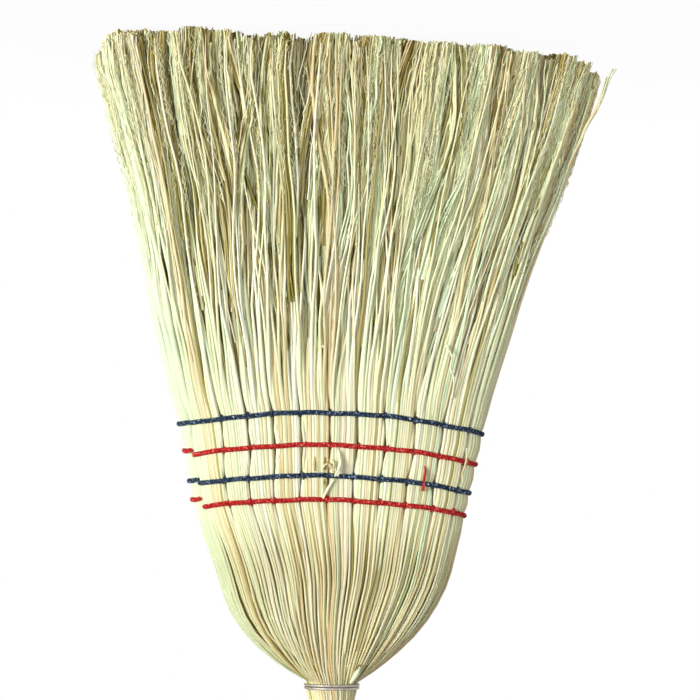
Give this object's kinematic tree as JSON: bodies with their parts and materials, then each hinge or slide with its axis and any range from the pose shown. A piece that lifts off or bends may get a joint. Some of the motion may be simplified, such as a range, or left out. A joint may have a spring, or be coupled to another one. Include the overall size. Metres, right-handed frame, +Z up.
{
  "type": "corn broom",
  "caption": "Flat sewn corn broom on a round wooden handle, bound with wire at the neck and sewn with rows of blue and red twine.",
  "frame": {"origin": "on the trim line of the bristle tips, under the middle of the head, with the broom upright on its tips", "axes": "+Z up along the handle, X across the width of the head, the pictured face looks towards -Y"},
  "size_m": [0.3474, 0.0588, 1.37],
  "materials": {
    "broomcorn": "dry natural plant fibre, matt with a faint waxy sheen",
    "handle_wood": "turned softwood under clear lacquer",
    "blue_twine": "twisted navy blue twine",
    "red_twine": "twisted red twine",
    "steel_wire": "drawn galvanised steel wire, dull"
  },
  "bodies": {
    "root": {"handle": "handle_wood", "shoulder_left": "broomcorn", "shoulder_right": "broomcorn", "bunch_front_01": "broomcorn", "bunch_front_02": "broomcorn", "bunch_front_03": "broomcorn", "bunch_front_04": "broomcorn", "bunch_front_05": "broomcorn", "bunch_front_06": "broomcorn", "bunch_front_07": "broomcorn", "bunch_front_08": "broomcorn", "bunch_front_09": "broomcorn", "bunch_front_10": "broomcorn", "bunch_back_01": "broomcorn", "bunch_back_02": "broomcorn", "bunch_back_03": "broomcorn", "bunch_back_04": "broomcorn", "bunch_back_05": "broomcorn", "bunch_back_06": "broomcorn", "bunch_back_07": "broomcorn", "bunch_back_08": "broomcorn", "bunch_back_09": "broomcorn", "bunch_back_10": "broomcorn", "seam_blue_lower": "blue_twine", "seam_red_lower": "red_twine", "seam_blue_upper": "blue_twine", "seam_red_upper": "red_twine", "binding_wire": "steel_wire", "nail_lower": "steel_wire", "nail_upper": "steel_wire"}
  },
  "joints": []
}
